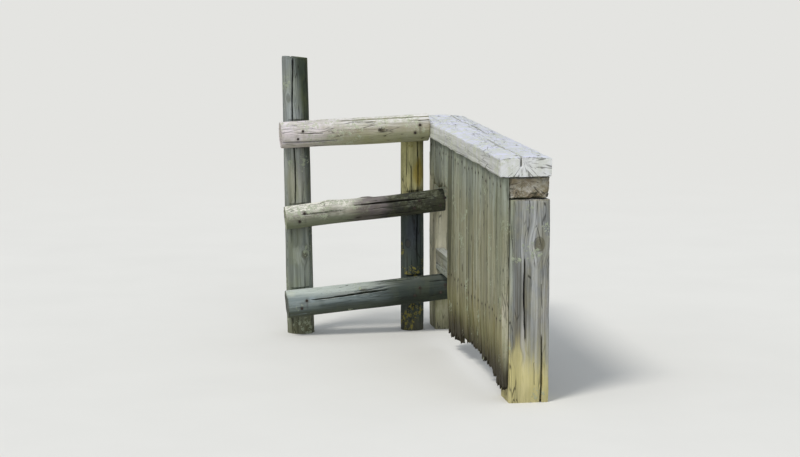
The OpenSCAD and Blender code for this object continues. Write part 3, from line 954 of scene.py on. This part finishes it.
railWear = {"round": True, "checks": (13, 0.1, 0.35, 0.0024, 0.004), "bow": 0.003, "hollow": 0.006}
rails = {
    "top_rail": {
        "slot": "top_rail_wood", "girths": (0.124, 0.130), "heights": (0.950, 0.978), "sawnUpright": True,
        "nailsAt": (-0.741, -0.19),
        "wear": {
            **railWear, "seed": 31, "splits": [(-150, 0.0, 0.36, 1.1), (-60, 0.0, -0.1, 0.4)],
            "knots": [(-140, 0.0, 0.19, 0.034, 0.003), (-95, 0.0, 0.47, 0.03, 0.002)],
        },
        "look": {
            "dark": "#7f7b68", "wood": "#b0ab99", "pale": "#d0ccbe", "bleachAndTopLight": "#e3e2e1", "bleachAndTopLightShare": 0.85,
            "shadedUnderside": "#adae8c", "shadedUndersideShare": 0.8, "shadedUndersideFrom": -0.2,
            "stainsAndPaintedShade": [((1, 0, 0), -0.45, -0.72, 0.6, 0.3, "#f0e6f0")],
            "algae": "#8f9054", "algaeDrift": 0.4, "lichen": "#d5d8c0", "lichenShare": 0.55,
        },
    },
    "middle_rail": {
        "slot": "middle_rail_wood", "girths": (0.112, 0.108), "heights": (0.560, 0.630), "sawnUpright": False,
        "nailsAt": (-0.735, -0.19, -0.066),
        "wear": {
            **railWear, "seed": 32, "bow": 0.008, "hollow": 0.01, "splits": [(-120, 0.0, 0.4, 0.92)],
            "knots": [(-150, 0.0, 0.215, 0.05, 0.008), (-70, 0.0, 0.46, 0.03, 0.002),
                      (170, 0.0, 0.39, 0.034, 0.005)],
        },
        "look": {
            "dark": "#706f63", "wood": "#a5a498", "pale": "#c8c7bc", "bleachAndTopLight": "#ebeae1", "bleachAndTopLightShare": 0.9,
            "shadedUnderside": "#747d66", "shadedUndersideShare": 0.82, "shadedUndersideFrom": -0.2, "end": "#a3aa90", "lichenShare": 0.5,
            "stainsAndPaintedShade": [((1, 0, 0), -0.54, -0.45, 0.85, 0.2, "#645a60"),
                       # darker towards the corner: painted shade of the corner, partly wet wood
                       ((1, 0, 0), -0.38, -0.28, 0.92, 0.25, "#2a2f26")],
            "lichenShy": 0.85,
        },
    },
    "bottom_rail": {
        "slot": "bottom_rail_wood", "girths": (0.132, 0.126), "heights": (0.150, 0.218), "sawnUpright": False,
        "nailsAt": (-0.728, -0.19, -0.066),
        "wear": {
            **railWear, "seed": 33, "splits": [(-110, 0.0, 0.12, 0.65), (-170, 0.0, 0.5, 1.1)],
            "knots": [(-130, 0.0, 0.36, 0.032, 0.004)],
        },
        "look": {
            "dark": "#4a5150", "wood": "#717e80", "pale": "#929d9d", "end": "#4c4f46", "endShare": 0.7,
            "bleachAndTopLight": "#bfc8c2", "bleachAndTopLightShare": 0.85, "bleachAndTopLightFrom": 0.4,
            "shadedUnderside": "#454b3d", "shadedUndersideShare": 0.8, "shadedUndersideFrom": 0.0,
            "algaeTop": 0.06, "algaeShare": 0.35, "dampAndShadeShare": 0.3, "lichenShare": 0.4, "lichenShy": 0.8,
            # darker towards the corner: painted shade of the corner, partly wet wood
            "stainsAndPaintedShade": [((1, 0, 0), -0.47, -0.26, 0.88, 0.3, "#2c352d")],
            "blotsAndPaintedLight": [((-0.735, 1.56, 0.16), (0.035, 0.06, 0.03), 0.75, "#2f3433"),
                      ((-0.645, 1.56, 0.168), (0.03, 0.06, 0.032), 0.6, "#3c4446"),
                      # a pale blue-grey patch on the upper side: weathered wood with a painted highlight
                      ((-0.69, 1.56, 0.18), (0.03, 0.06, 0.03), 0.55, "#a9b9c6"),
                      ((-0.785, 1.58, 0.2), (0.035, 0.06, 0.02), 0.6, "#cfd6c4")],
        },
    },
}
railSpec = {
    "cell": (0.0028, 0.0058),
    "flatPast": 0.015,  # how far a hewn flat runs past its post
    "sawnReach": 0.012,  # how deep the sawn end was roughened before it is cut flat
    "sawnBack": 0.0005,  # and how far back from the solid's end
    "nailSteps": (-0.011, 0.012),  # where the two nails at a post stand, sideways from its middle
    "nailClimb": 1.6,  # and how much higher for each step
}


def railAxis(node):
    # both ends of a rail's axis and how steeply it climbs, in radians; its square ends lean out past the axis
    low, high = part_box(node)
    spec = rails[node]
    left, right = spec["heights"]
    climb = math.atan2(right - left, high.x - low.x)
    y = low.y + max(spec["girths"]) / 2
    start = low.x + math.sin(climb) * spec["girths"][0] / 2
    stop = high.x - (0 if spec["sawnUpright"] else math.sin(climb) * spec["girths"][1] / 2)
    return Vector((start, y, left)), Vector((stop, y, right)), climb


def railHeight(node, x):
    start, stop, climb = railAxis(node)
    return start.z + (x - start.x) * math.tan(climb)


def sawOff(rail, x):
    # flattens the rough end that lies against the cap, and merges what falls together there
    ends = rail.data.attributes["endGrain"].data
    sawn = {i for i, share in enumerate(ends) if share.value > 0.3}
    back, reach = railSpec["sawnBack"], railSpec["sawnReach"]
    flatten(0, x - back, lambda vert: vert.index in sawn and vert.co.x > x - reach)
    setMode("EDIT")
    bpy.ops.mesh.select_all(action="SELECT")
    bpy.ops.mesh.remove_doubles(threshold=0.00002)
    bpy.ops.mesh.dissolve_degenerate(threshold=0.00002)
    setMode("OBJECT")


def makeRail(node, spec):
    start, stop, climb = railAxis(node)
    low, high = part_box(node)
    slope = math.degrees(climb)
    tilts = (0, slope if spec["sawnUpright"] else 0)
    rail = roundBlank(node + "_timber", spec["girths"], (stop - start).length, railSpec["cell"], tilts)
    lay = layMatrix((0, 90 - slope, 0), start)
    nails = [Vector((x + step, low.y, railHeight(node, x) + step * railSpec["nailClimb"]))
             for x in spec["nailsAt"] for step in railSpec["nailSteps"]]
    weather(rail, spec["wear"], [lay.inverted() @ nail for nail in nails], (1, 0, 0))
    layInPlace(rail, lay)
    handPost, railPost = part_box("hand_post"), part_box("rail_post")
    past = railSpec["flatPast"]
    farRight = high.x + past
    for left, right in ((handPost[0].x - past, handPost[1].x + past), (railPost[0].x - past, farRight)):
        flatten(1, wallFace, lambda vert: vert.co.y > wallFace and left < vert.co.x < right)
    if spec["sawnUpright"]:
        sawOff(rail, stop.x)
    dress(rail, spec, node)
    return rail, nails


madeRails = [makeRail(node, spec) for node, spec in rails.items()]
print("rails done")


# Round posts, with a housing for each rail

roundPostWear = {"round": True, "standing": True, "hollow": 0.005, "rot": [(-0.02, 0.08, 0.004)]}
roundPosts = {
    "rail_post": {
        "slot": "rail_post_wood", "girths": (0.110, 0.110), "axisX": -0.19, "lean": 0, "cut": 0,
        "wear": {
            **roundPostWear, "seed": 41, "checks": (12, 0.1, 0.4, 0.0024, 0.004),
            "splits": [(-70, 0.0, 0.3, 1.1), (120, 0.0, 0.1, 0.9)],
            "knots": [(-120, 0.0, 0.42, 0.034, 0.004), (40, 0.0, 0.7, 0.03, 0.003)],
        },
        "look": {
            # the near-black body is wet wood with painted shade of the corner; the pale band at the top is
            # lichen with painted sunlight
            "dark": "#262d2b", "wood": "#3e4744", "pale": "#5b6460", "warmShare": 0.1, "shadedUnderside": "#2a2f29",
            "algae": "#3f4a37", "algaeDrift": 0.4, "stainsAndPaintedShade": [((0, 0, 1), 0.58, 0.7, 0.9, 0.4, "#ded89d")],
            "blotsAndPaintedLight": [((-0.165, 1.62, 0.76), (0.034, 0.05, 0.075), 0.8, "#cdb553"),
                      # the blue-grey blot low down deepens the painted shade
                      ((-0.2, 1.62, 0.45), (0.05, 0.05, 0.14), 0.5, "#3f4150")],
            "lichen": "#9a8c3c", "lichenDark": "#7a7a44", "lichenShare": 0.6, "lichenOpacity": 0.8,
        },
    },
    "hand_post": {
        "slot": "hand_post_wood", "girths": (0.130, 0.122), "axisX": -0.725, "lean": 1, "cut": 5,
        "wear": {
            **roundPostWear, "seed": 42, "checks": (16, 0.12, 0.5, 0.0026, 0.0045), "endRough": 0.005,
            "splits": [(-110, 0.0, 0.42, 1.1), (-40, 0.0, -0.1, 0.45), (100, 0.0, 0.3, 1.1)],
            "knots": [(-75, 0.0, 0.38, 0.036, 0.004), (-130, 0.0, 1.12, 0.03, 0.003),
                      (60, 0.0, 0.8, 0.034, 0.004)],
        },
        "look": {
            "dark": "#50544f", "wood": "#7f8584", "pale": "#b0b5b0", "bands": 0.6, "warmShare": 0.25,
            "end": "#55564e", "bleachAndTopLight": "#8d9290", "algaeDrift": 0.3, "lichenShare": 0.4,
            "stainsAndPaintedShade": [((0, 0, 1), 0.9, 0.2, 0.35, 0.3, "#7f8b73"),
                       ((0, 0, 1), 0.95, 1.05, 0.5, 0.3, "#a0a9ab"),
                       # the right side darker, more so higher up: painted shade, as from light on the left
                       ((1, 0, 0.12), -0.65, -0.57, 0.94, 0.05, "#2d3927")],
            "blotsAndPaintedLight": [((-0.77, 1.62, 0.72), (0.04, 0.06, 0.16), 0.4, "#8e8a62")],
        },
    },
}
roundPostCell = (0.0028, 0.0066)
housingGap = 0.003  # clearance above and below a rail in its housing
shoulderWidth = 0.0006  # a housing's shoulders rise from its bed within this


def cutHousing(post, node):
    # flattens the post to the rails' plane between two shoulders that follow the rail's slope
    slope = railAxis(node)[2]
    x = roundPosts[post]["axisX"]
    half = (max(rails[node]["girths"]) / 2 + housingGap) / math.cos(slope)
    centre = railHeight(node, x)
    climb = math.tan(slope)
    setMode("EDIT")
    for edge in (-half, -half - shoulderWidth, half, half + shoulderWidth):
        bpy.ops.mesh.select_all(action="SELECT")
        bpy.ops.mesh.bisect(plane_co=(x, 0, centre + edge), plane_no=(-math.sin(slope), 0, math.cos(slope)))
    setMode("OBJECT")
    bed = half + shoulderWidth / 3
    flatten(1, wallFace, lambda vert: vert.co.y < wallFace
            and abs(vert.co.z - centre - (vert.co.x - x) * climb) < bed)


def makeRoundPost(node, spec):
    low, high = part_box(node)
    lean = math.radians(spec["lean"])
    length = (high.z - low.z - math.sin(math.radians(spec["cut"])) * spec["girths"][1] / 2) / math.cos(lean)
    tilts = (spec["lean"], spec["lean"] + spec["cut"])
    post = roundBlank(node + "_timber", spec["girths"], length, roundPostCell, tilts)
    weather(post, spec["wear"])
    layInPlace(post, layMatrix((0, -spec["lean"], 0), (spec["axisX"], high.y - spec["girths"][0] / 2, low.z)))
    levelFoot(low.z)
    for rail in rails:
        cutHousing(node, rail)
    dress(post, spec, node)


for node, spec in roundPosts.items():
    makeRoundPost(node, spec)
print("round posts done")


# Nails: domed heads, a little skewed, driven level with the worn wood

nailKinds = {
    "boardNails": {"girth": 0.0075, "proud": 0.0012, "wayIn": Vector((1, 0, 0))},
    "railNails": {"girth": 0.012, "proud": 0.0022, "wayIn": Vector((0, 1, 0))},
    "capNails": {"girth": 0.009, "proud": 0.0008, "wayIn": Vector((0, 0, -1))},
}
nailStart = 0.05  # how far outside the wood the way in begins
nailSkew = 0.14


def rustFinish():
    material = bpy.data.materials.new("nail_steel")
    g = blankGraph(material)
    place = g.texturePlace()
    scale = g.noise(place, 600.0, 3.0, 0.6)
    pits = g.ease(g.noise(place, 1500.0, 2.0, 0.6), 0.45, 0.6)
    colour = g.blend(g.ease(scale, 0.35, 0.65), "#262220", "#453a34")
    g.closeSurface((0.6, 0.0006, scale - pits * 0.5),
                   {"Base Color": colour, "Metallic": 0.35, "Roughness": scale * 0.3 + 0.55})
    return material


def nailHead(girth, proud):
    # one head, standing on the origin: a short disc with a rounded rim and a flattened dome
    deselectAll()
    bpy.ops.mesh.primitive_cylinder_add(vertices=18, radius=girth / 2, depth=proud * 2, location=(0, 0, 0))
    head = bpy.context.object
    setMode("EDIT")
    choose("FACE", lambda face: face.normal.z > 0.9)
    for rim, rise in ((0.14, 0.45), (0.16, 0.18)):
        bpy.ops.mesh.inset(thickness=girth * rim)
        bpy.ops.transform.translate(value=(0, 0, proud * rise))
    bpy.ops.mesh.poke()
    setMode("OBJECT")
    return head


def driveNails(name, spots, material):
    # each spot is a piece and a point on its face; the head sits where the way in meets the worn wood
    kind = nailKinds[name]
    wayIn = kind["wayIn"]
    master = nailHead(kind["girth"], kind["proud"])
    dice = random.Random(23)
    heads = []
    for piece, spot in spots:
        hit, place, normal, face = piece.ray_cast(Vector(spot) - wayIn * nailStart, wayIn)
        if not hit:
            continue
        skew = [dice.uniform(-nailSkew, nailSkew), dice.uniform(-nailSkew, nailSkew), dice.uniform(0, 3)]
        turn = (-wayIn).to_track_quat("Z", "Y").to_matrix() @ Euler(skew).to_matrix()
        head = master.copy()
        head.data = master.data.copy()
        bpy.context.collection.objects.link(head)
        head.data.transform(Matrix.Translation(place) @ turn.to_4x4())
        heads.append(head)
    bpy.data.objects.remove(master)
    deselectAll()
    for head in heads:
        head.select_set(True)
    bpy.context.view_layer.objects.active = heads[0]
    bpy.ops.object.join()
    heads[0].name = name
    finish(heads[0], material, "nail_steel")


steel = rustFinish()
driveNails("boardNails", [(board, nail) for board, nails in boards for nail in nails], steel)
driveNails("railNails", [(rail, nail) for rail, nails in madeRails for nail in nails], steel)
driveNails("capNails", [(madeWall["wall_cap"], nail) for nail in capNails], steel)
print("nails done")


# Stage

stageSpot = (-0.4, 0.9, 0.0)
backdrop = {"colour": "#e4e4e1", "near": 3.2, "far": 9.0}  # the floor fades into it between these distances
# far enough away to light the whole floor alike; the widths are in degrees as seen from the stage
lamps = {
    "keyLamp": {"spot": (-11.0, -8.5, 21.0), "width": 16, "power": 1.9, "colour": "#fffaf2"},
    "fillLamp": {"spot": (3.0, -16.0, 7.0), "width": 40, "power": 0.5, "colour": "#f0f4ff"},
}
lampTarget = (-0.3, 0.9, 0.5)
viewpoint = {"spot": (-2.06, -9.51, 2.05), "target": (-0.38, 0.86, 0.6), "lens": 108, "sensor": 36}


def shownRay(g):
    # 1 where the camera sees it, by itself, in a reflection or through glass
    kinds = ("Is Camera Ray", "Is Glossy Ray", "Is Transmission Ray")
    rays = [g.add("ShaderNodeLightPath", {}, {}, kind) for kind in kinds]
    return g.larger(g.larger(rays[0], rays[1]), rays[2])


def makeStage():
    deselectAll()
    bpy.ops.mesh.primitive_plane_add(size=120, location=(0, 0, 0))
    floor = bpy.context.object
    floor.name = "studioFloor"
    paper = bpy.data.materials.new("floorPaper")
    g = blankGraph(paper)
    place = g.texturePlace()
    shown = shownRay(g)
    colour = g.blend(g.noise(place, 2.0, 3.0), "#d9d9d6", "#dfdfdc")
    surface = g.add("ShaderNodeBsdfDiffuse", {}, {"Color": g.blend(shown, "#bcbab2", colour)})
    glow = g.add("ShaderNodeEmission", {}, {"Color": tint(backdrop["colour"]), "Strength": 1.0})
    away = g.ease(g.vector("DISTANCE", place, stageSpot, output="Value"), backdrop["near"], backdrop["far"])
    mixed = g.add("ShaderNodeMixShader", {}, [away * shown, surface, glow])
    g.add("ShaderNodeOutputMaterial", {}, [mixed])
    floor.data.materials.append(paper)


def makeWorld():
    # the air is brighter overhead, as under an open sky
    world = bpy.data.worlds.new("studioAir")
    g = blankGraph(world)
    overhead = g.split(g.add("ShaderNodeTexCoord", {}, {}, "Generated"))[2]
    strength = g.ease(overhead, -0.1, 1.0) * 0.4 + 0.42
    lighting = g.add("ShaderNodeBackground", {}, {"Color": tint("#e3e8ee"), "Strength": strength})
    paper = g.add("ShaderNodeBackground", {}, {"Color": tint(backdrop["colour"]), "Strength": 1.0})
    air = g.add("ShaderNodeMixShader", {}, [shownRay(g), lighting, paper])
    g.add("ShaderNodeOutputWorld", {}, [air])
    bpy.context.scene.world = world


def aim(thing, target):
    thing.rotation_euler = (Vector(target) - thing.location).to_track_quat("-Z", "Y").to_euler()


def makeLamp(name, spec):
    deselectAll()
    bpy.ops.object.light_add(type="SUN", location=spec["spot"])
    lamp = bpy.context.object
    lamp.name = name
    lamp.data.angle = math.radians(spec["width"])
    lamp.data.energy = spec["power"]
    lamp.data.color = tint(spec["colour"])[:3]
    aim(lamp, lampTarget)


def makeCamera():
    deselectAll()
    bpy.ops.object.camera_add(location=viewpoint["spot"])
    camera = bpy.context.object
    camera.data.lens = viewpoint["lens"]
    camera.data.sensor_width = viewpoint["sensor"]
    aim(camera, viewpoint["target"])
    bpy.context.scene.camera = camera


makeStage()
makeWorld()
for name, spec in lamps.items():
    makeLamp(name, spec)
makeCamera()
bpy.context.scene.view_settings.view_transform = "Standard"
print("stage, lamps and camera done")
